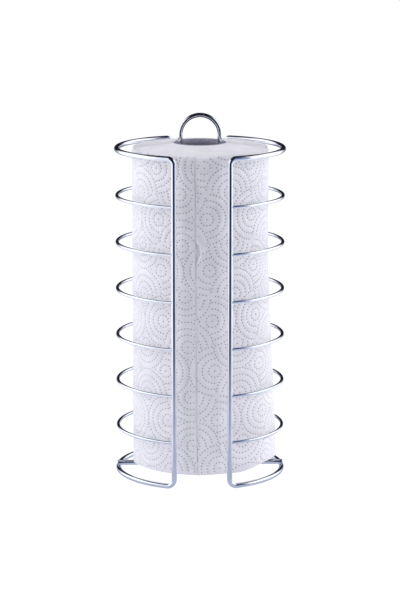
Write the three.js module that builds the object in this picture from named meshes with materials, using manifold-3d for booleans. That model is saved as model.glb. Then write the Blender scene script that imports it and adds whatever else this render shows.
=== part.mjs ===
// Upright paper towel holder, welded from chromed steel wire, with a roll of towels in it.
// Two half cages of bent wire stand face to face with a gap at the front and at the back. A
// crossbar over their bottom arcs ties them together and carries the roll. A narrow wire loop
// rises from the crossbar through the cardboard core and ends as the carrying handle.
// Millimetres, +Z up. The origin is on the worktop, under the middle of the roll, and -Y is
// the front.

import * as THREE from 'three';
import { mergeVertices } from 'three/addons/utils/BufferGeometryUtils.js';
import Module from 'manifold-3d';

const wasm = await Module();
wasm.setup();

// ---- Driving dimensions -------------------------------------------------------------------

const CAGE_DIAMETER = 150; // over the outside of the wire
const CAGE_TOP = 288.5; // height of the centre of the top arcs
const FRONT_GAP = 48; // between the centres of the two front uprights
const FRAME_WIRE = 4.5;
const TOP_BEND = 5; // centreline radius of the frame's upper corners
const BOTTOM_BEND = 6.5;

const RING_WIRE = 3;
const RING_COUNT = 6; // on each side
const LOWEST_RING = 41.3;
const RING_PITCH = 41.2;

const BAR_WIRE = 4.5;
const BAR_LENGTH = 148.6;
const BAR_SINK = 1.15; // how deep the weld lets the crossbar into the bottom arcs

const POST_WIRE = 4;
const HANDLE_WIDTH = 38.5; // over the outside of the wire
const HANDLE_TOP = 319.5;

const ROLL_DIAMETER = 120;
const ROLL_HEIGHT = 281.6;
const ROLL_TELESCOPE = 4.3; // how far the inner turns stand above the outer ones
const ROLL_EDGE = 2.5; // rounding of the outer turns at both ends
const CORE_BORE = 43.6;
const CORE_WALL = 0.8;

const GAP = 0.3; // left between pieces that touch or are welded

// Facets of the round pieces.
const FRAME_SIDES = 10;
const RING_SIDES = 8;
const ARC_STEP = THREE.MathUtils.degToRad(7);
const BEND_STEPS = 4;
const BOW_STEPS = 16;
const ROLL_SIDES = 48;
const CORE_SIDES = 36;
const CUTTER_SIDES = 40;

// ---- Values that follow from them -----------------------------------------------------------

const CAGE_RADIUS = (CAGE_DIAMETER - FRAME_WIRE) / 2;
const UPRIGHT_ANGLE = Math.asin(FRONT_GAP / 2 / CAGE_RADIUS); // from the front, about +Z
const BAR_HEIGHT = FRAME_WIRE + BAR_WIRE / 2 - BAR_SINK;
const ROLL_FOOT = BAR_HEIGHT + BAR_WIRE / 2 + GAP;
const CORE_RADIUS = CORE_BORE / 2 + CORE_WALL;
const BOW_RADIUS = (HANDLE_WIDTH - POST_WIRE) / 2;

const X = new THREE.Vector3(1, 0, 0);
const Y = new THREE.Vector3(0, 1, 0);
const Z = new THREE.Vector3(0, 0, 1);

// ---- Wire: a straight-sided section swept through stations -----------------------------------

/** A curve that passes through stations, each { point, tangent, outward }. The section turns
 *  with the outward direction, so a wire bent round the cage never twists. */
class WirePath extends THREE.Curve {
  constructor(stations, closed = false) {
    super();
    this.stations = stations;
    this.segments = closed ? stations.length : stations.length - 1;
  }

  at(t) {
    return this.stations[Math.round(t * this.segments) % this.stations.length];
  }

  getPoint(t, target = new THREE.Vector3()) {
    return target.copy(this.at(t).point);
  }

  getPointAt(t, target) {
    return this.getPoint(t, target);
  }

  getSpacedPoints() {
    return this.stations.map((station) => station.point.clone());
  }

  computeFrenetFrames() {
    const tangents = this.stations.map((station) => station.tangent);
    const normals = this.stations.map((station) => station.outward);
    const binormals = tangents.map((tangent, i) => tangent.clone().cross(normals[i]));
    return { tangents, normals, binormals };
  }
}

/** Corner radius of a regular section whose flats are a wire's diameter apart. */
function cornerRadius(diameter, sides) {
  return diameter / 2 / Math.cos(Math.PI / sides);
}

/** A length of wire with flat ends. */
function openWire(stations, diameter, sides) {
  const radius = cornerRadius(diameter, sides);
  const corners = [];
  for (let i = 0; i < sides; i++) {
    const angle = (i / sides) * 2 * Math.PI;
    corners.push(new THREE.Vector2(radius * Math.cos(angle), radius * Math.sin(angle)));
  }
  return new THREE.ExtrudeGeometry(new THREE.Shape(corners), {
    steps: stations.length - 1,
    extrudePath: new WirePath(stations),
  });
}

/** A loop of wire whose two ends are welded together. */
function closedWire(stations, diameter, sides) {
  const path = new WirePath(stations, true);
  return new THREE.TubeGeometry(path, stations.length, cornerRadius(diameter, sides), sides, true);
}

/** A station on the cage's cylinder. Along is the distance round it from the front, rise is
 *  the height, and side is 1 for the right half and -1 for the left. */
function onCage(side, along, rise, alongStep, riseStep) {
  const angle = along / CAGE_RADIUS;
  const outward = new THREE.Vector3(side * Math.sin(angle), -Math.cos(angle), 0);
  const around = new THREE.Vector3(side * Math.cos(angle), Math.sin(angle), 0);
  return {
    point: outward.clone().multiplyScalar(CAGE_RADIUS).addScaledVector(Z, rise),
    tangent: around.multiplyScalar(alongStep).addScaledVector(Z, riseStep).normalize(),
    outward,
  };
}

/** Stations along a level arc, without its two ends. */
function levelArc(side, from, to, rise) {
  const steps = Math.ceil(Math.abs(to - from) / CAGE_RADIUS / ARC_STEP);
  const stations = [];
  for (let i = 1; i < steps; i++) {
    stations.push(onCage(side, from + ((to - from) * i) / steps, rise, Math.sign(to - from), 0));
  }
  return stations;
}

// ---- Boolean cuts -----------------------------------------------------------------------------

function toSolid(geometry) {
  const bare = geometry.clone();
  bare.deleteAttribute('normal');
  bare.deleteAttribute('uv');
  const merged = mergeVertices(bare);
  return new wasm.Manifold(
    new wasm.Mesh({
      numProp: 3,
      vertProperties: merged.attributes.position.array,
      triVerts: merged.index.array,
    }),
  );
}

function toGeometry(solid) {
  const mesh = solid.getMesh();
  const geometry = new THREE.BufferGeometry();
  geometry.setAttribute('position', new THREE.BufferAttribute(mesh.vertProperties, 3));
  geometry.setIndex(new THREE.BufferAttribute(mesh.triVerts, 1));
  return geometry;
}

/** Cuts saddles in a wire, where it meets others of the given diameter and section. */
function cope(geometry, diameter, sides, length, direction, centres) {
  const radius = cornerRadius(diameter, sides) + GAP;
  let solid = toSolid(geometry);
  for (const centre of centres) {
    const cutter = new THREE.CylinderGeometry(radius, radius, length, CUTTER_SIDES);
    cutter.applyQuaternion(new THREE.Quaternion().setFromUnitVectors(Y, direction));
    cutter.translate(centre.x, centre.y, centre.z);
    solid = solid.subtract(toSolid(cutter));
  }
  return toGeometry(solid);
}

// ---- The cage -----------------------------------------------------------------------------------

/** One half cage's frame: a rounded rectangle, wrapped on the cage's cylinder. */
function sideFrame(side) {
  const front = CAGE_RADIUS * UPRIGHT_ANGLE;
  const back = CAGE_RADIUS * (Math.PI - UPRIGHT_ANGLE);
  const foot = FRAME_WIRE / 2;
  const stations = [];

  const bend = (along, rise, radius, from) => {
    for (let i = 0; i <= BEND_STEPS; i++) {
      const angle = from + ((Math.PI / 2) * i) / BEND_STEPS;
      const [c, s] = [Math.cos(angle), Math.sin(angle)];
      stations.push(onCage(side, along + radius * c, rise + radius * s, -s, c));
    }
  };

  bend(front + BOTTOM_BEND, foot + BOTTOM_BEND, BOTTOM_BEND, Math.PI);
  stations.push(...levelArc(side, front + BOTTOM_BEND, back - BOTTOM_BEND, foot));
  bend(back - BOTTOM_BEND, foot + BOTTOM_BEND, BOTTOM_BEND, Math.PI * 1.5);
  bend(back - TOP_BEND, CAGE_TOP - TOP_BEND, TOP_BEND, 0);
  stations.push(...levelArc(side, back - TOP_BEND, front + TOP_BEND, CAGE_TOP));
  bend(front + TOP_BEND, CAGE_TOP - TOP_BEND, TOP_BEND, Math.PI / 2);
  return closedWire(stations, FRAME_WIRE, FRAME_SIDES);
}

/** One half ring at height 0, its ends cut to sit on the flanks of the two uprights. */
function sideRing(side) {
  const front = CAGE_RADIUS * UPRIGHT_ANGLE;
  const back = CAGE_RADIUS * (Math.PI - UPRIGHT_ANGLE);
  const ends = [onCage(side, front, 0, 1, 0), onCage(side, back, 0, 1, 0)];
  const stations = [ends[0], ...levelArc(side, front, back, 0), ends[1]];
  const ring = openWire(stations, RING_WIRE, RING_SIDES);
  const uprights = ends.map((end) => end.point);
  return cope(ring, FRAME_WIRE, FRAME_SIDES, RING_WIRE * 3, Z, uprights);
}

/** The crossbar about its own middle, with a saddle over each bottom arc. */
function crossbar() {
  const ends = [-BAR_LENGTH / 2, BAR_LENGTH / 2];
  const stations = ends.map((x) => ({ point: X.clone().multiplyScalar(x), tangent: X, outward: Y }));
  const bar = openWire(stations, BAR_WIRE, FRAME_SIDES);
  const drop = FRAME_WIRE / 2 - BAR_HEIGHT;
  const arcs = [-1, 1].map((side) => new THREE.Vector3(side * CAGE_RADIUS, 0, drop));
  return cope(bar, FRAME_WIRE, FRAME_SIDES, BAR_WIRE * 3, Y, arcs);
}

/** The post and handle in one wire, from the middle of the crossbar up, its two feet cut to
 *  straddle the bar. */
function postLoop() {
  const bowHeight = HANDLE_TOP - POST_WIRE / 2 - BOW_RADIUS - BAR_HEIGHT;
  const foot = (x, tangent) => ({ point: new THREE.Vector3(x, 0, 0), tangent, outward: Y });
  const stations = [foot(-BOW_RADIUS, Z)];
  for (let i = 0; i <= BOW_STEPS; i++) {
    const angle = Math.PI * (1 - i / BOW_STEPS);
    const [c, s] = [Math.cos(angle), Math.sin(angle)];
    stations.push({
      point: new THREE.Vector3(BOW_RADIUS * c, 0, bowHeight + BOW_RADIUS * s),
      tangent: new THREE.Vector3(s, 0, -c),
      outward: Y,
    });
  }
  stations.push(foot(BOW_RADIUS, Z.clone().negate()));
  const loop = openWire(stations, POST_WIRE, FRAME_SIDES);
  return cope(loop, BAR_WIRE, FRAME_SIDES, HANDLE_WIDTH * 2, X, [new THREE.Vector3()]);
}

// ---- The roll -----------------------------------------------------------------------------------

/** A ring-shaped solid turned about +Z from its section, given as radius and height. */
function turned(section, sides) {
  const outline = [...section, section[0]].map(([radius, height]) => new THREE.Vector2(radius, height));
  return new THREE.LatheGeometry(outline, sides);
}

function core() {
  const inner = CORE_BORE / 2;
  return turned(
    [
      [inner, 0],
      [CORE_RADIUS, 0],
      [CORE_RADIUS, ROLL_HEIGHT],
      [inner, ROLL_HEIGHT],
    ],
    CORE_SIDES,
  );
}

/** The wound paper: its ends are shallow cones, because the inner turns have crept upwards. */
function towels() {
  const inner = CORE_RADIUS + GAP;
  const outer = ROLL_DIAMETER / 2;
  const soft = ROLL_EDGE * (1 - Math.SQRT1_2);
  return turned(
    [
      [inner, ROLL_TELESCOPE],
      [outer - ROLL_EDGE, 0],
      [outer - soft, soft],
      [outer, ROLL_EDGE],
      [outer, ROLL_HEIGHT - ROLL_EDGE],
      [outer - soft, ROLL_HEIGHT - soft],
      [outer - ROLL_EDGE, ROLL_HEIGHT],
      [inner, ROLL_HEIGHT + ROLL_TELESCOPE],
    ],
    ROLL_SIDES,
  );
}

// ---- The assembly ---------------------------------------------------------------------------------

function piece(name, geometry, color, roughness, metalness) {
  const mesh = new THREE.Mesh(geometry, new THREE.MeshStandardMaterial({ color, roughness, metalness }));
  mesh.name = name;
  return mesh;
}

const chromed = (name, geometry) => piece(name, geometry, '#c9ccd2', 0.08, 1);

const holder = new THREE.Group();
for (const [name, side] of [['left', -1], ['right', 1]]) {
  const half = new THREE.Group();
  half.add(chromed(`${name}_frame`, sideFrame(side)));
  const ring = sideRing(side);
  for (let i = 0; i < RING_COUNT; i++) {
    const mesh = chromed(`${name}_ring_${i + 1}`, ring);
    mesh.position.z = LOWEST_RING + i * RING_PITCH;
    half.add(mesh);
  }
  holder.add(half);
}

const carrier = new THREE.Group();
carrier.position.z = BAR_HEIGHT;
carrier.add(chromed('base_bar', crossbar()));
carrier.add(chromed('centre_post', postLoop()));
holder.add(carrier);

const roll = new THREE.Group();
roll.position.z = ROLL_FOOT;
const tube = piece('roll_core', core(), '#b8a48c', 0.9, 0);
tube.position.z = ROLL_TELESCOPE;
const paper = piece('paper_roll', towels(), '#eceef4', 0.95, 0);
for (const mesh of [tube, paper]) {
  mesh.rotation.x = Math.PI / 2; // turned about +Y, stood up along +Z
  roll.add(mesh);
}
holder.add(roll);

export default holder;
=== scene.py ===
# %% [markdown]
# # A paper towel holder of welded wire
# The real holder is bent and welded from bright chromed wire: two half cages stand face to face,
# a crossbar ties their feet together, and a narrow loop rises from the crossbar through the roll
# and ends as the carrying handle. The engineering model fixes where every piece is. This file
# loads it and builds what the eye sees around it: drawn wire with soft welds, a card tube, and
# one long sheet of embossed paper wound up on it.

import math

import bpy
import numpy as np
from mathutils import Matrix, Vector
from mathutils.geometry import delaunay_2d_cdt


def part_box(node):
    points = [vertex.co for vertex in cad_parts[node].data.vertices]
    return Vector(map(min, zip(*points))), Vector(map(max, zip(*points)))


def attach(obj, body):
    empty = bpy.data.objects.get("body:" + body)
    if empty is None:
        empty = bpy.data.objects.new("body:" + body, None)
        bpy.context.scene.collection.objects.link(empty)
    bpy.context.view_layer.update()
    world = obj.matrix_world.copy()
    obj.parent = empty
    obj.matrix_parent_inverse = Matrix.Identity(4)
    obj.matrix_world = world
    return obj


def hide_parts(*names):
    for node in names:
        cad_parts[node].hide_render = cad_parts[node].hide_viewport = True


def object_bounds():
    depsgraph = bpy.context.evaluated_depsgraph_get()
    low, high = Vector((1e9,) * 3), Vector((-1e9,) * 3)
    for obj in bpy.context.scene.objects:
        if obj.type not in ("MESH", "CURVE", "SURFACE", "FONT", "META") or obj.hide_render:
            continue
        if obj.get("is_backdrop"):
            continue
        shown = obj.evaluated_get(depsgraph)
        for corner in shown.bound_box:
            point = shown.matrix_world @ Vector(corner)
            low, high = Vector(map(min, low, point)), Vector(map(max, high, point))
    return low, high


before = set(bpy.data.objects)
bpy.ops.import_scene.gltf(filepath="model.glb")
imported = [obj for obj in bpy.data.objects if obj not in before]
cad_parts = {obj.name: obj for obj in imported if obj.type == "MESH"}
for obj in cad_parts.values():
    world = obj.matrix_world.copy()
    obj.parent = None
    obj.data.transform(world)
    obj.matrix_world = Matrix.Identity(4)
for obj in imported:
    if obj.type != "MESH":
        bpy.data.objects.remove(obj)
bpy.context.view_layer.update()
MM = 0.001

# %% [markdown]
# ## The camera
# The holder is seen from the front, from a little above and from about two metres away, with a
# long lens, so that its uprights stay almost parallel. The camera is aimed at the middle of the
# holder. No depth of field is used, because every view has to be sharp.

# %% Place the camera
camera = bpy.data.objects.new("camera", bpy.data.cameras.new("camera"))
bpy.context.scene.collection.objects.link(camera)
bpy.context.scene.camera = camera
camera.data.sensor_width = 36
camera.data.lens = 144.5
camera.location = (-0.051, -2.083, 0.575)
look = Vector((0, 0, 0.1534)) - camera.location
camera.rotation_euler = look.to_track_quat("-Z", "Y").to_euler()
print("camera stands", round(look.length, 2), "m away")

# %% [markdown]
# ## Writing node trees as sums
# Shaders and Geometry Nodes are both built from small Math nodes, which are slow to read when
# each is made by hand. The class below wraps one output of a node. Adding or multiplying two of
# them adds the Math node that does it, and the method `node` adds any other kind.


# %% Wrap a node's output
class Feed:
    """One output of a node. Arithmetic on it adds Math nodes to the same tree."""

    def __init__(self, tree, socket=None):
        self.tree = tree
        self.socket = socket

    def node(self, kind, settings=(), inputs=(), out=0):
        """Adds a node of any kind to this tree and returns one of its outputs."""
        made = self.tree.nodes.new(kind)
        for name, value in dict(settings).items():
            setattr(made, name, value)
        for key, value in dict(inputs).items():
            if isinstance(value, Feed):
                self.tree.links.new(value.socket, made.inputs[key])
            else:
                made.inputs[key].default_value = value
        return Feed(self.tree, made.outputs[out] if made.outputs else None)

    def math(self, operation, *values):
        settings = {"operation": operation}
        return self.node("ShaderNodeMath", settings, dict(enumerate(values)))

    def clamp(self, low=0.0, high=1.0):
        return self.math("MINIMUM", self.math("MAXIMUM", self, low), high)

    def smooth(self, low, high):
        """0 below low, 1 above high, and a soft step between them."""
        values = {"Value": self, "From Min": low, "From Max": high}
        return self.node("ShaderNodeMapRange", {"interpolation_type": "SMOOTHSTEP"}, values)

    def blend(self, first, second):
        """A colour that goes from first to second as this number goes from 0 to 1."""
        values = {0: self, 6: first, 7: second}
        return self.node("ShaderNodeMix", {"data_type": "RGBA"}, values, out=2)

    def noise(self, scale, detail):
        """Noise from 0 to 1, read at this place."""
        return self.node("ShaderNodeTexNoise", (), {"Vector": self, "Scale": scale, "Detail": detail})

    def bump(self, strength, distance):
        """A normal that makes this number look like a relief, this many metres deep."""
        values = {"Strength": strength, "Distance": distance, "Height": self}
        return self.node("ShaderNodeBump", (), values)

    def length(self):
        """How long this vector is."""
        return self.node("ShaderNodeVectorMath", {"operation": "LENGTH"}, {0: self}, out=1)

    def parts(self):
        """The x, y and z of this vector."""
        split = self.node("ShaderNodeSeparateXYZ", (), {0: self})
        return [Feed(self.tree, output) for output in split.socket.node.outputs]

    def __add__(self, other):
        return self.math("ADD", self, other)

    def __sub__(self, other):
        return self.math("SUBTRACT", self, other)

    def __rsub__(self, other):
        return self.math("SUBTRACT", other, self)

    def __mul__(self, other):
        return self.math("MULTIPLY", self, other)

    def __truediv__(self, other):
        return self.math("DIVIDE", self, other)

    def __rtruediv__(self, other):
        return self.math("DIVIDE", other, self)

    def __pow__(self, other):
        return self.math("POWER", self, other)

    __radd__ = __add__
    __rmul__ = __mul__


def rgb(red, green, blue):
    return (red, green, blue, 1)


def blank_material(name):
    """A material with only an output, and a Feed to start its tree from."""
    made = bpy.data.materials.new(name)
    made.use_nodes = True
    made.node_tree.nodes.clear()
    return made, Feed(made.node_tree)


def surface(start, settings):
    """Ends a material's tree in a Principled shader with these values."""
    shader = start.node("ShaderNodeBsdfPrincipled", (), settings)
    start.node("ShaderNodeOutputMaterial", (), {"Surface": shader})


# %% [markdown]
# ## Bright chrome
# Chrome plating is a mirror with a faint blue cast. What makes it look real is that it isn't
# perfect: fingers and polish leave clouds that are a little duller, and the drawn wire under the
# plating leaves a very fine grain. Noise on the object's own coordinates gives both.

# %% Mix the chrome
bright_chrome, start = blank_material("bright_chrome")
place = start.node("ShaderNodeTexCoord", out=3)
clouds = place.noise(scale=55, detail=4).smooth(0.35, 0.7)
grain = place.noise(scale=1400, detail=2)
surface(start, {
    "Base Color": clouds.blend(rgb(0.90, 0.92, 0.96), rgb(0.82, 0.85, 0.91)),
    "Metallic": 1.0,
    "Roughness": 0.045 + clouds * 0.05,
    "Normal": grain.bump(strength=0.05, distance=0.2 * MM),
})
print("chrome has", len(bright_chrome.node_tree.nodes), "nodes")

# %% [markdown]
# ## Towel paper
# Towel paper is soft, matt and nearly white. It is creped, which leaves tiny ridges, and the
# embossing presses dots in it. The outer sheet carries an attribute `pressed`, which says how
# deep each point is pressed in, and the colour is darkened by it: painted shade in the dents.
# The mottling and the crepe are noise on object coordinates, so the same paper also covers the
# cut ends.


# %% Mix the paper
def towel_paper(name, has_dots):
    made, start = blank_material(name)
    place = start.node("ShaderNodeTexCoord", out=3)
    mottle = place.noise(scale=90, detail=5)
    stretched = start.node("ShaderNodeMapping", (), {"Vector": place, "Scale": (1, 1, 3.2)})
    crepe = stretched.noise(scale=620, detail=3)
    fibres = place.noise(scale=2600, detail=2)
    relief = crepe * 0.6 + fibres * 0.4
    colour = mottle.smooth(0.3, 0.7).blend(rgb(0.880, 0.868, 0.902), rgb(0.920, 0.907, 0.936))
    if has_dots:
        # painted shade: each dot is darkened in colour by how deep it is pressed, for the shade in the dent
        pressed = start.node("ShaderNodeAttribute", {"attribute_name": "pressed"}, out=2)
        colour = pressed.clamp().blend(colour, rgb(0.32, 0.30, 0.34))
    surface(start, {
        "Base Color": colour,
        "Roughness": 0.9 + mottle * 0.1,
        "Specular IOR Level": 0.15,
        "Normal": relief.bump(strength=0.35, distance=0.4 * MM),
    })
    return made


embossed_paper = towel_paper("embossed_paper", has_dots=True)
plain_paper = towel_paper("plain_paper", has_dots=False)
print("paper has", len(embossed_paper.node_tree.nodes), "nodes")

# %% [markdown]
# ## Grey card
# The core of a towel roll is wound from strips of grey recycled card. Its fibres show as
# speckles and darker flecks, which two noises draw. The seam between the strips is in the mesh.

# %% Mix the card
core_card, start = blank_material("core_card")
place = start.node("ShaderNodeTexCoord", out=3)
speckle = place.noise(scale=700, detail=4).smooth(0.4, 0.75)
flecks = start.node("ShaderNodeTexVoronoi", (), {"Vector": place, "Scale": 420}).smooth(0.0, 0.35)
card_tone = speckle.blend(rgb(0.30, 0.29, 0.37), rgb(0.38, 0.37, 0.46))
surface(start, {
    "Base Color": (1 - flecks).blend(card_tone, rgb(0.23, 0.22, 0.28)),
    "Roughness": 0.85 + speckle * 0.1,
    "Specular IOR Level": 0.2,
    "Normal": speckle.bump(strength=0.3, distance=0.3 * MM),
})
print("card has", len(core_card.node_tree.nodes), "nodes")

# %% [markdown]
# ## Drawn wire
# Every metal piece is wire: a round section that follows a path. Geometry Nodes does this once
# for all of them. The path is a chain of edges, the tree turns it into a curve and sweeps a
# circle along it. Two things happen near a free end. Where the wire is welded, it swells into a
# small collar. Where it is left free, its end is rounded off.


# %% Start a Geometry Nodes tree with named inputs
def new_tree(name, inputs):
    """A tree with these inputs, given as name: kind. Returns it with a Feed for each input."""
    tree = bpy.data.node_groups.new(name, "GeometryNodeTree")
    for label, kind in inputs.items():
        tree.interface.new_socket(label, in_out="INPUT", socket_type="NodeSocket" + kind)
    tree.interface.new_socket("Mesh", in_out="OUTPUT", socket_type="NodeSocketGeometry")
    entry = tree.nodes.new("NodeGroupInput")
    return tree, {label: Feed(tree, entry.outputs[label]) for label in inputs}


def end_tree(shape, finish):
    """Closes a tree, so that it gives plain faces that carry their material."""
    smooth = shape.node("GeometryNodeSetShadeSmooth", (), {"Geometry": shape})
    real = shape.node("GeometryNodeRealizeInstances", (), {"Geometry": smooth})
    coated = shape.node("GeometryNodeSetMaterial", (), {"Geometry": real, "Material": finish})
    shape.node("NodeGroupOutput", (), {"Mesh": coated})


def grow(name, base, tree, values):
    """Runs a tree on a mesh and returns the result as a plain piece."""
    seed = bpy.data.objects.new(name + "_seed", base)
    bpy.context.scene.collection.objects.link(seed)
    modifier = seed.modifiers.new(tree.name, "NODES")
    modifier.node_group = tree
    for item in tree.interface.items_tree:
        if item.in_out == "INPUT" and item.name in values:
            modifier[item.identifier] = values[item.name]
    evaluated = seed.evaluated_get(bpy.context.evaluated_depsgraph_get())
    mesh = bpy.data.meshes.new_from_object(evaluated)
    mesh.name = name
    bpy.data.objects.remove(seed)
    bpy.data.meshes.remove(base)
    piece = bpy.data.objects.new(name, mesh)
    bpy.context.scene.collection.objects.link(piece)
    return piece


def triangles(piece):
    return sum(len(face.vertices) - 2 for face in piece.data.polygons)


# %% Sweep a round section along a path
drawn_wire, given = new_tree("drawn_wire", {
    "Path": "Geometry",
    "Diameter": "Float",
    "Sides": "Int",
    "Weld Swell": "Float",
    "Weld Length": "Float",
    "End Rounding": "Float",
    "Finish": "Material",
})
path = given["Path"]
line = path.node("GeometryNodeMeshToCurve", (), {"Mesh": path})
done = path.node("GeometryNodeSplineParameter", out=1)
total = path.node("GeometryNodeSplineLength")
from_end = path.math("MINIMUM", done, total - done)
near_weld = (1 - from_end / given["Weld Length"]).clamp()
TIP_FACET = 0.02 * MM
rounding = path.math("MAXIMUM", given["End Rounding"], 1e-6)
near_tip = (1 - (from_end + TIP_FACET) / rounding).clamp()
girth = (1 + given["Weld Swell"] * near_weld ** 2) * path.math("SQRT", 1 - near_tip * near_tip)
section = path.node(
    "GeometryNodeCurvePrimitiveCircle", (), {"Resolution": given["Sides"], "Radius": given["Diameter"] * 0.5}
)
sweep = {"Curve": line, "Profile Curve": section, "Scale": girth, "Fill Caps": True}
end_tree(path.node("GeometryNodeCurveToMesh", (), sweep), given["Finish"])
print("wire tree has", len(drawn_wire.nodes), "nodes")


# %% Draw a wire along points
def chain(points, closed):
    """A mesh of edges through points, in metres."""
    edges = [(i, i + 1) for i in range(len(points) - 1)]
    if closed:
        edges.append((len(points) - 1, 0))
    mesh = bpy.data.meshes.new("path")
    mesh.from_pydata(points, edges, [])
    return mesh


def draw_wire(name, points, diameter, node, closed=False, swell=0.0, rounding=0.0, sides=20):
    """A chromed wire that stands for a node of the model and is welded to the holder."""
    piece = grow(name, chain(points, closed), drawn_wire, {
        "Diameter": diameter,
        "Sides": sides,
        "Weld Swell": swell,
        "Weld Length": WELD_LENGTH,
        "End Rounding": rounding,
        "Finish": bright_chrome,
    })
    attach(piece, "holder")
    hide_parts(node)
    return piece


WELD_LENGTH = 2.6 * MM

# %% [markdown]
# ## The two frames
# Each half cage hangs on one closed loop of thick wire: a rounded rectangle that is rolled round
# an upright cylinder. Its path is laid out flat, with quarter circles for the corners, and then
# wrapped. Height and radius are read from the model's own box.

# %% Read the cage from the model
FRAME_WIRE = 4.5 * MM
RING_WIRE = 3 * MM
POST_WIRE = 4 * MM
TOP_BEND = 5 * MM
BOTTOM_BEND = 6.5 * MM
UPRIGHT_GAP = 48 * MM
_, cage_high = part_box("left_frame")
CAGE_RADIUS = 72.75 * MM
CAGE_FOOT = FRAME_WIRE / 2
CAGE_TOP = cage_high.z - FRAME_WIRE / 2
UPRIGHT_ANGLE = math.asin(UPRIGHT_GAP / 2 / CAGE_RADIUS)
print("cage top at", round(CAGE_TOP / MM, 1), "mm, uprights at", round(math.degrees(UPRIGHT_ANGLE), 1))


def on_cage(side, angle, height):
    """A point on the cage's cylinder. The angle is from the front, and side is -1 or 1."""
    return (side * CAGE_RADIUS * math.sin(angle), -CAGE_RADIUS * math.cos(angle), height)


def spread(first, last, step):
    """Evenly spaced numbers from first to last, no further apart than step."""
    return np.linspace(first, last, max(2, math.ceil(abs(last - first) / step) + 1))


def fine_ended(first, last, run, fine, coarse):
    """Numbers from first to last in coarse steps, with fine ones along a run at either end."""
    start = spread(first, first + run, fine)[:-1]
    middle = spread(first + run, last - run, coarse)
    return [*start, *middle, *spread(last - run, last, fine)[1:]]


# %% Bend the frames
def frame_path(side):
    front, back = UPRIGHT_ANGLE, math.pi - UPRIGHT_ANGLE
    corners = (
        (front, 1, CAGE_FOOT, 1, BOTTOM_BEND, math.pi),
        (back, -1, CAGE_FOOT, 1, BOTTOM_BEND, 1.5 * math.pi),
        (back, -1, CAGE_TOP, -1, TOP_BEND, 0.0),
        (front, 1, CAGE_TOP, -1, TOP_BEND, 0.5 * math.pi),
    )
    flat = []
    for i, (upright, inward, level, up, bend, turn) in enumerate(corners):
        arc = [
            (
                upright * CAGE_RADIUS + bend * (inward + math.cos(turn + t)),
                level + bend * (up + math.sin(turn + t)),
            )
            for t in np.linspace(0, math.pi / 2, 13)
        ]
        if flat:
            flat += between(flat[-1], arc[0])
        flat += arc
    flat += between(flat[-1], flat[0])
    return [on_cage(side, along / CAGE_RADIUS, height) for along, height in flat]


def between(first, last):
    """The points between two points on the flat layout, about 4 mm apart."""
    count = max(2, round(math.dist(first, last) / (4 * MM)))
    return [tuple(np.array(first) + (np.array(last) - first) * i / count) for i in range(1, count)]


for word, side in (("left", -1), ("right", 1)):
    piece = draw_wire(word + "_frame_wire", frame_path(side), FRAME_WIRE, word + "_frame", closed=True)
    print(piece.name, triangles(piece), "triangles")

# %% [markdown]
# ## The rings
# Six thinner half rings span each frame. Their ends are butt welded to the flanks of the
# uprights, so the wire runs into the upright and swells to a small collar just before it.

# %% Weld in the rings
FLANK = (FRAME_WIRE / 2 - 0.5 * MM) / CAGE_RADIUS
WELD_SWELL = 0.15
for word, side in (("left", -1), ("right", 1)):
    first, last = UPRIGHT_ANGLE + FLANK, math.pi - UPRIGHT_ANGLE - FLANK
    angles = fine_ended(first, last, run=math.radians(3), fine=0.008, coarse=0.035)
    for number in range(1, 7):
        node = f"{word}_ring_{number}"
        low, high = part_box(node)
        level = (low.z + high.z) / 2
        points = [on_cage(side, angle, level) for angle in angles]
        draw_wire(node + "_wire", points, RING_WIRE, node, swell=WELD_SWELL, sides=16)
print("rings welded, the last at", round(level / MM, 1), "mm")

# %% [markdown]
# ## Crossbar and centre post
# The crossbar lies across both bottom arcs, with its sheared ends rounded over. The post is one
# wire bent to a narrow upside-down U whose feet are welded on the middle of the bar, and its bow
# is the handle.

# %% Lay the crossbar
bar_low, bar_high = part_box("base_bar")
bar_level = bar_high.z - FRAME_WIRE / 2
along_bar = fine_ended(bar_low.x, bar_high.x, run=3 * MM, fine=0.2 * MM, coarse=4 * MM)
bar_points = [(x, 0, bar_level) for x in along_bar]
draw_wire("crossbar_wire", bar_points, FRAME_WIRE, "base_bar", rounding=1.3 * MM)
print("crossbar is", round((bar_high.x - bar_low.x) / MM, 1), "mm long")

# %% Bend the post
post_low, post_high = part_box("centre_post")
bow = (post_high.x - post_low.x - POST_WIRE) / 2
bow_level = post_high.z - POST_WIRE / 2 - bow
POST_SUNK = 0.7 * MM
foot = bar_level + FRAME_WIRE / 2 - POST_SUNK
leg = [*spread(foot, foot + 3 * MM, 0.5 * MM)[:-1], *spread(foot + 3 * MM, bow_level, 8 * MM)[:-1]]
over = np.linspace(0, math.pi, 61)
post_points = [(-bow, 0, z) for z in leg]
post_points += [(-bow * math.cos(t), 0, bow_level + bow * math.sin(t)) for t in over]
post_points += [(bow, 0, z) for z in reversed(leg)]
draw_wire("post_and_handle_wire", post_points, POST_WIRE, "centre_post", swell=0.3)
print("handle top at", round(post_high.z / MM, 1), "mm")

# %% [markdown]
# ## The card core
# The tube is wound from two strips of card. Where a strip's edges meet there is a shallow seam
# that climbs round the tube, on the inside and on the outside. The wall is modelled as a grid
# that is closed in both directions: round the tube, and up the outside and down the inside.


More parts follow.
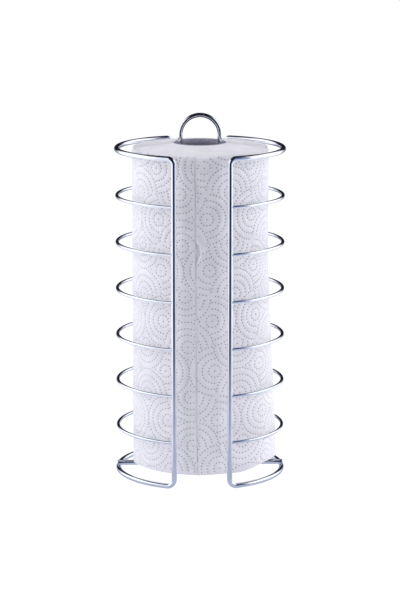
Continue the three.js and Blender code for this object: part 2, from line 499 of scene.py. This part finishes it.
# %% Close a grid into a shell
def ring_shell(name, rows, finish):
    """A mesh from rows of points, where each row is closed and the last row joins the first."""
    rows = np.asarray(rows, float)
    count, around = rows.shape[:2]
    at = np.arange(count * around).reshape(count, around)
    right, up = np.roll(at, -1, 1), np.roll(at, -1, 0)
    quads = np.stack([at, right, np.roll(right, -1, 0), up], -1).reshape(-1, 4)
    mesh = bpy.data.meshes.new(name)
    mesh.from_pydata(rows.reshape(-1, 3).tolist(), [], quads.tolist())
    mesh.polygons.foreach_set("use_smooth", [True] * len(quads))
    mesh.materials.append(finish)
    piece = bpy.data.objects.new(name, mesh)
    bpy.context.scene.collection.objects.link(piece)
    return piece


# %% Wind the core
core_low, core_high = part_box("roll_core")
CORE_RADIUS = 22.6 * MM
CORE_WALL = 0.8 * MM
SEAM_CLIMB = 95 * MM
SEAM_DEPTH = 0.22 * MM
SEAM_WIDTH = 0.035
turn = np.linspace(0, 2 * math.pi, 96, endpoint=False)
heights = np.linspace(core_low.z, core_high.z, 70)


def core_row(radius, height, sign):
    """The wall's points at one height. The sign is 1 on the outside and -1 on the inside."""
    from_seam = np.abs((turn / (2 * math.pi) - height / SEAM_CLIMB) % 1 - 0.5)
    r = radius - sign * SEAM_DEPTH * (1 - np.minimum(1, from_seam / SEAM_WIDTH)) ** 2
    return np.stack([r * np.cos(turn), r * np.sin(turn), np.full_like(turn, height)], -1)


wall = [core_row(CORE_RADIUS, z, 1) for z in heights]
wall += [core_row(CORE_RADIUS - CORE_WALL, z, -1) for z in heights[::-1]]
card_tube = ring_shell("card_tube", wall, core_card)
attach(card_tube, "core")
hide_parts("roll_core")
print("core wall has", triangles(card_tube), "triangles")

# %% [markdown]
# ## The windings
# A towel roll is one long sheet wound up in a spiral, and its ends show the edge of every turn.
# Geometry Nodes winds it for real: a spiral curve, lifted towards the middle because the inner
# turns have crept up the core, with the sheet's thin upright section swept along it. A little
# noise keeps the edges from lining up too well. The outer turn's lower edge stands a little
# higher at the front, so there the windings are pushed up too, and stay hidden behind it.

# %% Wind a strip in a spiral
wound_strip, given = new_tree("wound_strip", {
    "Turns": "Float",
    "Steps": "Int",
    "Inner Radius": "Float",
    "Outer Radius": "Float",
    "Foot": "Float",
    "Width": "Float",
    "Thickness": "Float",
    "Telescope": "Float",
    "Unevenness": "Float",
    "Front Push": "Float",
    "Finish": "Material",
})
spiral = given["Turns"].node("GeometryNodeCurveSpiral", (), {
    "Resolution": given["Steps"],
    "Rotations": given["Turns"],
    "Start Radius": given["Inner Radius"],
    "End Radius": given["Outer Radius"],
    "Height": 0.0,
})
spot = spiral.node("GeometryNodeInputPosition")
share = (given["Outer Radius"] - spot.length()) / (given["Outer Radius"] - given["Inner Radius"])
turn_number = spiral.node("GeometryNodeSplineParameter", out=0) * given["Turns"]
apart = spiral.node("ShaderNodeCombineXYZ", (), {"Z": turn_number * 0.03})
jitter_at = spiral.node("ShaderNodeVectorMath", {"operation": "ADD"}, {0: spot, 1: apart})
jitter = jitter_at.noise(scale=38, detail=1) - 0.5
lift = given["Foot"] + given["Width"] * 0.5 + given["Telescope"] * share + given["Unevenness"] * jitter
offset = spiral.node("ShaderNodeCombineXYZ", (), {"Z": lift})
raised = spiral.node("GeometryNodeSetPosition", (), {"Geometry": spiral, "Offset": offset})
upright = spiral.node("GeometryNodeSetCurveNormal", {"mode": "Z_UP"}, {"Curve": raised})
strip = spiral.node(
    "GeometryNodeCurvePrimitiveQuadrilateral", (), {"Width": given["Thickness"], "Height": given["Width"]}
)
soft_strip = spiral.node(
    "GeometryNodeFilletCurve", {"mode": "POLY"},
    {"Curve": strip, "Count": 2, "Radius": given["Thickness"] * 0.45, "Limit Radius": True},
)
sweep = {"Curve": upright, "Profile Curve": soft_strip, "Fill Caps": True}
wound = spiral.node("GeometryNodeCurveToMesh", (), sweep)
_, depth, rise = spiral.node("GeometryNodeInputPosition").parts()
at_front = 1 - depth.smooth(-45 * MM, 0.0)
at_foot = 1 - rise.smooth(30 * MM, 100 * MM)
push = spiral.node("ShaderNodeCombineXYZ", (), {"Z": at_front * at_foot * given["Front Push"]})
pushed = spiral.node("GeometryNodeSetPosition", (), {"Geometry": wound, "Offset": push})
end_tree(pushed, given["Finish"])

roll_low, roll_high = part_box("paper_roll")
ROLL_RADIUS = (roll_high.x - roll_low.x) / 2
TELESCOPE = 4.3 * MM
ROLL_FOOT = roll_low.z
ROLL_WIDTH = roll_high.z - roll_low.z - TELESCOPE
windings = grow("towel_windings", bpy.data.meshes.new("empty"), wound_strip, {
    "Turns": 70.0,
    "Steps": 84,
    "Inner Radius": CORE_RADIUS + 0.5 * MM,
    "Outer Radius": ROLL_RADIUS - 1.9 * MM,
    "Foot": ROLL_FOOT + 0.3 * MM,
    "Width": ROLL_WIDTH - 0.6 * MM,
    "Thickness": 0.45 * MM,
    "Telescope": TELESCOPE,
    "Unevenness": 0.6 * MM,
    "Front Push": 2.2 * MM,
    "Finish": plain_paper,
})
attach(windings, "roll")
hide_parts("paper_roll")
print("windings have", triangles(windings), "triangles")

# %% [markdown]
# ## The embossing rule
# The outer turn is pressed with round medallions: a centre dot inside four rings of dots. Their
# centres lie on a square lattice that stands on its corner, and the whole lattice is rolled on
# a little askew. Neighbouring medallions overlap, and one of the two always lies on top and cuts
# the other's rings off. Which one it is alternates from row to row, like a weave. All of this is
# laid out on the flat sheet, in millimetres: along it from the front, and up from the counter.

# %% Lay out the medallions
HALF_PITCH = 22.0
RING_STEP = 5.475
RINGS = 4
DOTS_ON_FIRST_RING = 12
EDGE_MARGIN = 1.6
STRETCH = 1.008
LEAN = math.radians(3)
TILT = math.radians(2.2)
ANCHOR = np.array((2.0, 279.4))
LATTICE = [(i, j) for i in range(-14, 12) for j in range(-16, 6) if (i + j) % 2 == 0]


def centre(i, j):
    """A medallion's centre on the flat sheet, in millimetres."""
    x, y = HALF_PITCH * i, HALF_PITCH * STRETCH * j
    across = x * math.cos(TILT) - y * math.sin(LEAN)
    up = x * math.sin(TILT) + y * math.cos(LEAN)
    return ANCHOR + (across, up)


def lies_over(top, under):
    """Whether the first of two diagonal neighbours covers the second."""
    even, odd = (top, under) if top[0] % 2 == 0 else (under, top)
    odd_is_left = odd[0] < even[0]
    even_wins = ((even[0] // 2 + even[1] // 2) % 2 == 0) == odd_is_left
    return even_wins == (top == even)


def medallion_dots(i, j):
    """A medallion's dots, without those that a neighbour covers."""
    middle = centre(i, j)
    dots = [middle]
    for ring in range(1, RINGS + 1):
        count = DOTS_ON_FIRST_RING * ring
        turns = 2 * math.pi * np.arange(count) / count
        dots += list(middle + ring * RING_STEP * np.stack([np.cos(turns), np.sin(turns)], -1))
    dots = np.array(dots)
    for other in [(i + a, j + b) for a in (-1, 1) for b in (-1, 1)]:
        if lies_over(other, (i, j)):
            reach = np.linalg.norm(dots - centre(*other), axis=1)
            dots = dots[reach > RINGS * RING_STEP + EDGE_MARGIN]
    return dots


def merged(dots, distance):
    """Dots that nearly coincide, where two outer rings touch, become one between them."""
    cells = {}
    kept = []
    for dot in dots:
        key = (int(dot[0] // distance), int(dot[1] // distance))
        near = [
            k for a in (-1, 0, 1) for b in (-1, 0, 1)
            for k in cells.get((key[0] + a, key[1] + b), ())
            if np.hypot(*(kept[k] - dot)) < distance
        ]
        if near:
            kept[near[0]] = (kept[near[0]] + dot) / 2
        else:
            cells.setdefault(key, []).append(len(kept))
            kept.append(np.array(dot))
    return np.array(kept)


print("a medallion is", 2 * RINGS * RING_STEP, "mm across,", len(LATTICE), "of them are laid out")

# %% [markdown]
# ## The outer sheet
# Paper towels part along a line of small slits. The outer turn is therefore two sheets: one
# from the perforation to the loose end at the back, one from the perforation round the other
# way until it dives under that loose end. Each is laid out flat as a cloud of points, with a
# small star of points for every dot, and triangulated. Then it is wrapped on the roll. Its back
# is a second, coarser net with the same outline, so the sheet has a real thickness.

# %% Draw the line of slits
RADIUS_MM = ROLL_RADIUS / MM
FOOT_MM = ROLL_FOOT / MM
WIDTH_MM = ROLL_WIDTH / MM
SHEET_THICKNESS = 0.55
LOOSE_END = math.radians(150)
HIDDEN_END = math.radians(-238)
SLITS_AT = -5.5
SLITS_LEAN = 2.0


def step(value, low, high):
    """0 below low, 1 above high, and a soft step between them."""
    t = np.clip((value - low) / (high - low), 0, 1)
    return t * t * (3 - 2 * t)


def hill(value, low, top_from, top_to, high):
    """0 outside low and high, and 1 on the flat top."""
    return step(value, low, top_from) * (1 - step(value, top_to, high))


def perforation(v):
    """Where the line of slits is, as a distance along the sheet, at height v."""
    return SLITS_AT + SLITS_LEAN * (1 - (v - FOOT_MM) / WIDTH_MM)


print("sheet wraps from", round(math.degrees(HIDDEN_END)), "to", round(math.degrees(LOOSE_END)), "degrees")

# %% [markdown]
# ## A short crease
# Beside the slits, two thirds of the way up, the paper has been pinched. The crease bows away
# from the slits and comes back to them. It stands up as a crest with a hollow at its side.

# %% Shape the crease
CREASE_FOOT = 194
CREASE_LENGTH = 25
CREASE_BOW = 5.2
CREASE_SPAN = (193, 199, 212, 220)
CREST_HEIGHT = 2.3
CREST_WIDTH = 1.3
HOLLOW_DEPTH = 1.1
HOLLOW_WIDTH = 1.2
HOLLOW_AT = -2.4


def crest(v):
    """Where the crease is, as a distance along the sheet, at height v."""
    way_up = np.clip((v - CREASE_FOOT) / CREASE_LENGTH, 0, 1)
    return perforation(v) + CREASE_BOW * np.sin(math.pi * way_up)


def crease(s, v):
    """How far the paper stands up there."""
    beside = s - crest(v)
    raised = CREST_HEIGHT * np.exp(-(beside / CREST_WIDTH) ** 2)
    hollow = HOLLOW_DEPTH * np.exp(-((beside - HOLLOW_AT) / HOLLOW_WIDTH) ** 2)
    return hill(v, *CREASE_SPAN) * (s > perforation(v)) * (raised - hollow)


print("the crease is", CREASE_SPAN[-1] - CREASE_SPAN[0], "mm long")

# %% [markdown]
# ## How the sheet lies on the roll
# The outer turn isn't a plain cylinder. It follows the spiral, lies a little flat beside the
# slits and ridges along them. Its lower edge flares out and lifts at the right, and lifts a
# little at the front. The loose end stands off, and the upper edge curls over the windings. Each
# of these is one term. Spans are in degrees from the front, and heights go from 0 to 1.

# %% Wrap the sheet
SPIRAL_PITCH = 0.85
FLARE = 7.5
FLARE_SPAN = (18, 62, 98, 150)
FLARE_TOP = 0.78
FLAT = 0.4
FLAT_SPAN = (-2.5, 6, 12, 24)
RIDGE = 2.0
RIDGE_LEFT = 8.0
RIDGE_RIGHT = 13.0
END_STANDS_OFF = 1.6
END_SPAN = (138, 150)
CURL = 0.9
CURL_HEIGHT = 3.0
RIGHT_LIFT = 7.5
RIGHT_LIFT_SPAN = (30, 58, 66, 120)
FRONT_LIFT = 2.1
FRONT_LIFT_SPAN = (-88, -55, 30, 56)


def wrap(s, v, rise):
    """Puts points of the flat sheet on the roll. Rise is how far they stand off it."""
    angle = s / RADIUS_MM
    degrees = np.degrees(angle)
    up = (v - FOOT_MM) / WIDTH_MM
    spiral_in = SPIRAL_PITCH * (LOOSE_END - angle) / (2 * math.pi)
    flare = FLARE * hill(degrees, *FLARE_SPAN) * (1 - step(up, 0.0, FLARE_TOP)) ** 1.3
    flat = FLAT * hill(degrees, *FLAT_SPAN) * (0.6 + 0.4 * (1 - up))
    past = s - perforation(v)
    ridge = RIDGE * np.exp(-np.abs(past) / np.where(past < 0, RIDGE_LEFT, RIDGE_RIGHT))
    loose = END_STANDS_OFF * step(degrees, *END_SPAN) * (0.5 + 0.5 * np.sin(up * 5))
    curl = CURL * step(up, 1 - CURL_HEIGHT / WIDTH_MM, 1) ** 2
    radius = RADIUS_MM - spiral_in + flare - flat + ridge + crease(s, v) + loose - curl + rise
    lift = RIGHT_LIFT * hill(degrees, *RIGHT_LIFT_SPAN)
    lift = (lift + FRONT_LIFT * hill(degrees, *FRONT_LIFT_SPAN)) * (1 - up) ** 5
    return np.stack([radius * np.sin(angle), -radius * np.cos(angle), v + lift], -1) * MM


print("the lower edge flares out by", FLARE, "mm")

# %% [markdown]
# ## Soft bands between the rings
# Between two rings of dots the paper swells a little. The swelling follows the medallion that
# lies on top at each point, so the owner of each point has to be found first.

# %% Find the bands
DOT_RADIUS = 0.76
DOT_DEPTH = 0.6
BAND_RISE = 0.06
NOBODY = 999


def bands(points):
    """The soft raised rings between the rings of dots, 0 to 1."""
    owner_distance = np.full(len(points), 1e9)
    owner = np.full((len(points), 2), NOBODY)
    for i, j in LATTICE:
        distance = np.linalg.norm(points - centre(i, j), axis=1)
        inside = distance < RINGS * RING_STEP + EDGE_MARGIN * 0.5
        for k in np.flatnonzero(inside):
            held = tuple(owner[k])
            beaten = held[0] != NOBODY and (
                lies_over(held, (i, j)) if abs(held[0] - i) == 1 else owner_distance[k] < distance[k]
            )
            if not beaten:
                owner[k] = (i, j)
                owner_distance[k] = distance[k]
    wave = 0.5 - 0.5 * np.cos(2 * math.pi * owner_distance / RING_STEP)
    return np.where(owner[:, 0] != NOBODY, wave, 0.0)


print("bands rise", BAND_RISE, "mm, dots are pressed in by", DOT_DEPTH, "mm")

# %% [markdown]
# ## The outline of one sheet
# The outline is walked counter-clockwise and is straight, except along the slits. There the two
# sheets stand a few hundredths of a millimetre apart, and a little more at each slit, so that the
# line shows as fine dashes. Both sheets have the same heights along it, so that they match.

# %% Cut the outline
EDGE_POINTS = 189
BRIDGE_GAPE = 0.02


def slit_edge(direction):
    """One side of the line of slits: three points of paper, then three of slit."""
    heights = np.linspace(FOOT_MM, FOOT_MM + WIDTH_MM, EDGE_POINTS)
    slit_gape = 0.05 + 0.13 * step(np.sin(heights / 13) + np.sin(heights / 31), -0.2, 1.0)
    gape = np.where(np.arange(EDGE_POINTS) % 6 > 2, slit_gape, BRIDGE_GAPE)
    gape[[0, -1]] = BRIDGE_GAPE
    return np.stack([perforation(heights) + direction * gape, heights], -1)


def straight_edge(at):
    heights = np.linspace(FOOT_MM, FOOT_MM + WIDTH_MM, EDGE_POINTS)
    return np.stack([np.full_like(heights, at), heights], -1)


def sheet_outline(left_end, right_end):
    """The flat outline, counter-clockwise. An end of None is the line of slits."""
    left = slit_edge(1) if left_end is None else straight_edge(left_end)
    right = slit_edge(-1) if right_end is None else straight_edge(right_end)
    count = round((right[0, 0] - left[0, 0]) / 2.2)
    share = np.linspace(0, 1, count + 1)[1:-1, None]
    bottom = left[0] + (right[0] - left[0]) * share
    top = right[-1] + (left[-1] - right[-1]) * share
    return np.concatenate([left[:1], bottom, right, top, left[:0:-1]])


def inside_sheet(points, left_end, right_end, margin):
    """Which points lie on the sheet, at least a margin away from its outline."""
    s, v = points.T
    low = perforation(v) if left_end is None else np.full_like(s, left_end)
    high = perforation(v) if right_end is None else np.full_like(s, right_end)
    fits = (s > low + margin) & (s < high - margin)
    return fits & (v > FOOT_MM + margin) & (v < FOOT_MM + WIDTH_MM - margin)


print("the outline has", EDGE_POINTS, "points up each side")

# %% [markdown]
# ## The points of one sheet
# Every dot has thirteen points of its own, so that it is a real dent with a soft wall. Between
# the dots the sheet is filled with points in rows that stand half a step apart, apart from those
# that would come too near a dot. The crease gets some more, because it is so narrow.

# %% Choose the points
MEDALLION_REACH = 24
COVERED_FROM = math.radians(-214) * RADIUS_MM
NET_STEP = 3.1
CREST_OFFSETS = (-3.4, -2.4, -1.4, -0.7, 0.0, 0.7, 1.4, 2.4)


def sheet_dots(reach, ends):
    """The dots on a sheet. The loose end covers the last ones, so they are left out."""
    low, high = reach[0] - MEDALLION_REACH, reach[1] + MEDALLION_REACH
    bottom, top = FOOT_MM - MEDALLION_REACH, FOOT_MM + WIDTH_MM + MEDALLION_REACH
    dots = []
    for i, j in LATTICE:
        across, up = centre(i, j)
        if low < across < high and bottom < up < top:
            dots += list(medallion_dots(i, j))
    dots = merged(dots, 2 * DOT_RADIUS + 0.05)
    dots = dots[inside_sheet(dots, *ends, DOT_RADIUS + 0.35)]
    return dots[dots[:, 0] > COVERED_FROM]


def near_crest():
    """Points along the crease, so that the net is fine enough to follow it."""
    heights = np.arange(CREASE_SPAN[0], CREASE_SPAN[-1], 1.1)
    return np.array([(crest(v) + a, v) for v in heights for a in CREST_OFFSETS])


def clear_of(dots, points):
    """Those points that no dot's star touches."""
    taken = {}
    for dot in dots:
        taken.setdefault((int(dot[0] // 3), int(dot[1] // 3)), []).append(dot)
    clear = []
    for p in points:
        i, j = int(p[0] // 3), int(p[1] // 3)
        near = []
        for a in (-1, 0, 1):
            for b in (-1, 0, 1):
                near += taken.get((i + a, j + b), ())
        if all(np.hypot(*(d - p)) > DOT_RADIUS + 0.45 for d in near):
            clear.append(p)
    return np.array(clear)


def dot_star():
    """The points of one dot, and how deep each is pressed: middle, inner ring, rim."""
    hexagon = np.arange(6) * math.pi / 3
    inner = 0.55 * DOT_RADIUS * np.stack([np.cos(hexagon), np.sin(hexagon)], -1)
    rim = DOT_RADIUS * np.stack([np.cos(hexagon + 0.52), np.sin(hexagon + 0.52)], -1)
    return np.concatenate([np.zeros((1, 2)), inner, rim]), [1.0] + [0.72] * 6 + [0.0] * 6


print("a dot has", len(dot_star()[0]), "points")

# %% [markdown]
# ## From a flat net to a sheet
# A Delaunay triangulation makes an even net from any cloud of points. The front and the rear net
# share their outline, so the rim between them is a single row of four-sided faces. Each point
# remembers how deep it is pressed, which the paper's colour turns into painted shade in the dots.

# %% Triangulate the two sides
LEFT_REACH = (-251, 2)
RIGHT_REACH = (-8, 170)


def net(outline, extra):
    """Triangulates the outline with the extra points in it."""
    points = np.concatenate([outline, extra])
    loop = [list(range(len(outline)))]
    made = delaunay_2d_cdt([Vector(p) for p in points], [], loop, 1, 1e-6)
    return np.array([tuple(p) for p in made[0]]), made[2]


def front_net(outline, reach, ends):
    """The visible side: flat points, faces, how deep each point is pressed, and its dots."""
    dots = sheet_dots(reach, ends)
    star, star_depth = dot_star()
    pressed_points = (dots[:, None, :] + star[None]).reshape(-1, 2)
    us, vs = np.arange(*reach, NET_STEP), np.arange(FOOT_MM, FOOT_MM + WIDTH_MM, NET_STEP)
    fill = np.array([(u + NET_STEP / 2 * (k % 2), v) for k, v in enumerate(vs) for u in us])
    if ends[0] is None:
        fill = np.concatenate([fill, near_crest()])
    fill = fill[inside_sheet(fill, *ends, 0.9)]
    flat, faces = net(outline, np.concatenate([pressed_points, clear_of(dots, fill)]))
    depth = np.tile(star_depth, len(dots))
    lookup = {(round(p[0], 3), round(p[1], 3)): d for p, d in zip(pressed_points, depth)}
    pressed = np.array([lookup.get((round(p[0], 3), round(p[1], 3)), 0.0) for p in flat])
    return flat, faces, pressed, dots


def rear_net(outline, reach, ends):
    """The hidden side, in coarser steps."""
    us, vs = np.arange(*reach, NET_STEP), np.arange(FOOT_MM, FOOT_MM + WIDTH_MM, NET_STEP)
    fill = np.array([(u, v) for v in vs[::3] for u in us[::2]])
    return net(outline, fill[inside_sheet(fill, *ends, 1.5)])


print("nets are filled in steps of", NET_STEP, "mm")


# %% Build both sheets
def build_sheet(name, reach, *ends):
    """A closed sheet between two ends. The reach is how far its rows of points go, in mm."""
    outline = sheet_outline(*ends)
    flat, faces, pressed, dots = front_net(outline, reach, ends)
    rear_flat, rear_faces = rear_net(outline, reach, ends)
    front = wrap(*flat.T, BAND_RISE * bands(flat) - DOT_DEPTH * pressed)
    rear = wrap(*rear_flat.T, np.full(len(rear_flat), -SHEET_THICKNESS))
    shift = len(front)
    faces = [list(f) for f in faces] + [[shift + k for k in reversed(f)] for f in rear_faces]
    for k in range(len(outline)):
        n = (k + 1) % len(outline)
        faces.append((k, k + shift, n + shift, n))
    mesh = bpy.data.meshes.new(name)
    mesh.from_pydata(np.concatenate([front, rear]).tolist(), [], faces)
    mesh.polygons.foreach_set("use_smooth", [True] * len(mesh.polygons))
    mark = mesh.attributes.new("pressed", "FLOAT", "POINT")
    mark.data.foreach_set("value", np.concatenate([pressed, np.zeros(len(rear))]).astype(np.float32))
    mesh.materials.append(embossed_paper)
    piece = bpy.data.objects.new(name, mesh)
    bpy.context.scene.collection.objects.link(piece)
    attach(piece, "roll")
    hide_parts("paper_roll")
    print(name, len(dots), "dots,", triangles(piece), "triangles")


build_sheet("outer_towel", RIGHT_REACH, None, LOOSE_END * RADIUS_MM)
build_sheet("second_towel", LEFT_REACH, HIDDEN_END * RADIUS_MM, None)

# %% [markdown]
# ## Table and light
# Chrome shows what stands round it, so the studio is designed for its reflections. White walls
# stand to the left and the right, and the rest of the room is dark: behind the camera, behind
# the holder and overhead. The dark room draws the dark lines in the wires, and the walls draw
# the white ones. The left wall has a faintly blue stretch next to the camera, and the right one
# leaves a dim blue gap. The room changes with the azimuth alone, which is the angle from the
# front, positive to the right. What the camera itself sees past the holder is plain white.


# %% Say what stands where
WHITE = rgb(1, 1, 1)
UNLIT = rgb(0.010, 0.012, 0.028)
BLUE_WHITE = rgb(0.90, 0.93, 1.00)
BEHIND_HOLDER = (2.30, 2.70)
LEFT_WALL_TURNS_BLUE = (-1.30, -1.05)
LEFT_WALL_ENDS = (-0.74, -0.60)
GAP_STARTS = (0.58, 0.70)
RIGHT_WALL_STARTS = (1.12, 1.30)


def round_the_room(place, lit, behind, dim):
    """The colour of the room at this place or in this direction, by its azimuth alone."""
    x, y, _ = place.parts()
    azimuth = place.math("ARCTAN2", x, y * -1)
    back = place.math("ABSOLUTE", azimuth).smooth(*BEHIND_HOLDER)
    past_left_wall = azimuth.smooth(*LEFT_WALL_ENDS)
    before_gap = 1 - azimuth.smooth(*GAP_STARTS)
    blue_stretch = azimuth.smooth(*LEFT_WALL_TURNS_BLUE) * (1 - past_left_wall)
    gap = azimuth.smooth(*GAP_STARTS) * (1 - azimuth.smooth(*RIGHT_WALL_STARTS))
    colour = back.blend(lit, behind)
    colour = blue_stretch.blend(colour, BLUE_WHITE)
    colour = gap.blend(colour, dim)
    return (past_left_wall * before_gap).blend(colour, UNLIT)


# %% [markdown]
# ## The table
# The table is one big white square, and it too is painted for what the wires and the paper see
# in it: for every ray but the camera's it glows with painted light. Far out it glows with a
# painted reflection of the room above it. Near the holder it glows greyer, and right under the
# holder it carries a painted shadow. Light that reaches the paper by way of the table is painted
# bounce light from one more set of values, brighter on the right, where the stronger light
# stands. The camera sees a matt table that is nearly as white as the wall behind it.

# %% Build the table
table_mesh = bpy.data.meshes.new("white_table")
corners = [(-8, -8, 0), (8, -8, 0), (8, 12, 0), (-8, 12, 0)]
table_mesh.from_pydata(corners, [], [(0, 1, 2, 3)])
white_table = bpy.data.objects.new("white_table", table_mesh)
bpy.context.scene.collection.objects.link(white_table)
white_table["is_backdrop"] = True

# %% Paint the table
table_top, start = blank_material("table_top")
spot = start.node("ShaderNodeTexCoord", out=3)
from_middle = spot.length()
far_out = from_middle.smooth(0.14, 0.75)
# painted shadow: the table glows darker right under the holder, where its shade would fall
painted_shadow_under_holder = 1 - from_middle.smooth(0.08, 0.15)
# painted reflection: the room's lit walls and dark stretches are painted on the table by azimuth
room = round_the_room(spot, rgb(1.12, 1.14, 1.20), rgb(0.24, 0.25, 0.32), rgb(0.42, 0.48, 0.66))
# painted shade: near the holder the table glows greyer than the room it reflects
greyer = {0: 0.66, 6: room, 7: rgb(0.66, 0.70, 0.84)}
near = start.node("ShaderNodeMix", {"data_type": "RGBA"}, greyer, out=2)
near = painted_shadow_under_holder.blend(near, rgb(0.46, 0.50, 0.63))
# painted bounce light: what the paper gets from the table glows brighter on the right, under the stronger
# lamp
to_the_right = spot.parts()[0].smooth(0.02, 0.12)
painted_bounce_light = to_the_right.blend(rgb(0.80, 0.80, 0.90), rgb(1.12, 1.12, 1.22))
lights_matt_paper = start.node("ShaderNodeLightPath", out=2)
near = lights_matt_paper.blend(near, painted_bounce_light)
# the table glows with these painted colours for every ray but the camera's; it is no lamp
painted = start.node("ShaderNodeEmission", (), {"Color": far_out.blend(near, room), "Strength": 1.0})
matt = start.node("ShaderNodeBsdfPrincipled", (), {
    "Base Color": rgb(0.12, 0.12, 0.13),
    "Roughness": 1.0,
    "Specular IOR Level": 0.0,
    "Emission Color": WHITE,
    "Emission Strength": 0.98,
})
seen = start.node("ShaderNodeLightPath", out=0)
mixed = start.node("ShaderNodeMixShader", (), {0: seen, 1: painted, 2: matt})
start.node("ShaderNodeOutputMaterial", (), {"Surface": mixed})
table_mesh.materials.append(table_top)
print("table painted with", len(table_top.node_tree.nodes), "nodes")

# %% Light the studio
world = bpy.data.worlds.new("studio")
bpy.context.scene.world = world
world.use_nodes = True
world.node_tree.nodes.clear()
start = Feed(world.node_tree)
direction = start.node("ShaderNodeTexCoord", out=0)
elevation = start.math("ARCSINE", direction.parts()[2])
walls = round_the_room(direction, rgb(1.25, 1.26, 1.32), rgb(0.015, 0.014, 0.022), rgb(0.08, 0.11, 0.23))
room = elevation.smooth(0.60, 0.95).blend(walls, rgb(0.02, 0.02, 0.035))
seen = start.node("ShaderNodeLightPath", out=0)
light = start.node("ShaderNodeBackground", (), {"Color": seen.blend(room, WHITE), "Strength": 1.0})
start.node("ShaderNodeOutputWorld", (), {"Surface": light})
bpy.context.scene.view_settings.view_transform = "Standard"
print("studio lit")

# %% [markdown]
# ## Lights that only the paper feels
# In a studio, weak lights are added until the paper shows its shape, and they are turned so that
# the wires don't mirror them. Here such a light is simply left out of reflections.


# %% Add the fill lights
def fill_light(name, azimuth, elevation, watts, colour=(1, 1, 1), size=1.2, distance=1.6):
    """A soft light at this azimuth from the front and this elevation, in degrees."""
    lamp = bpy.data.lights.new(name, "AREA")
    lamp.shape = "DISK"
    lamp.size = size
    lamp.energy = watts
    lamp.color = colour
    light = bpy.data.objects.new(name, lamp)
    a, e = math.radians(azimuth), math.radians(elevation)
    away = Vector((math.sin(a) * math.cos(e), -math.cos(a) * math.cos(e), math.sin(e)))
    light.location = MIDDLE + away * distance
    light.rotation_euler = away.to_track_quat("Z", "Y").to_euler()
    light.visible_glossy = False
    light.visible_camera = False
    bpy.context.scene.collection.objects.link(light)


MIDDLE = Vector((0, 0, 0.15))
LAVENDER = (0.90, 0.90, 1.0)
fill_light("fill_left", -72, 8, 6.4, size=2.0)
fill_light("fill_right", 70, 8, 14.6, size=2.0)
fill_light("fill_front", -42, 8, 6.9, LAVENDER, size=2.0)
fill_light("fill_top", 10, 80, 8.4)
fill_light("fill_back", 180, 25, 2.0)
print("five fill lights hung")

# %% Measure the visual box and finish
low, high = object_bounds()
print("visual box in mm:", [round((b - a) / MM, 1) for a, b in zip(low, high)])
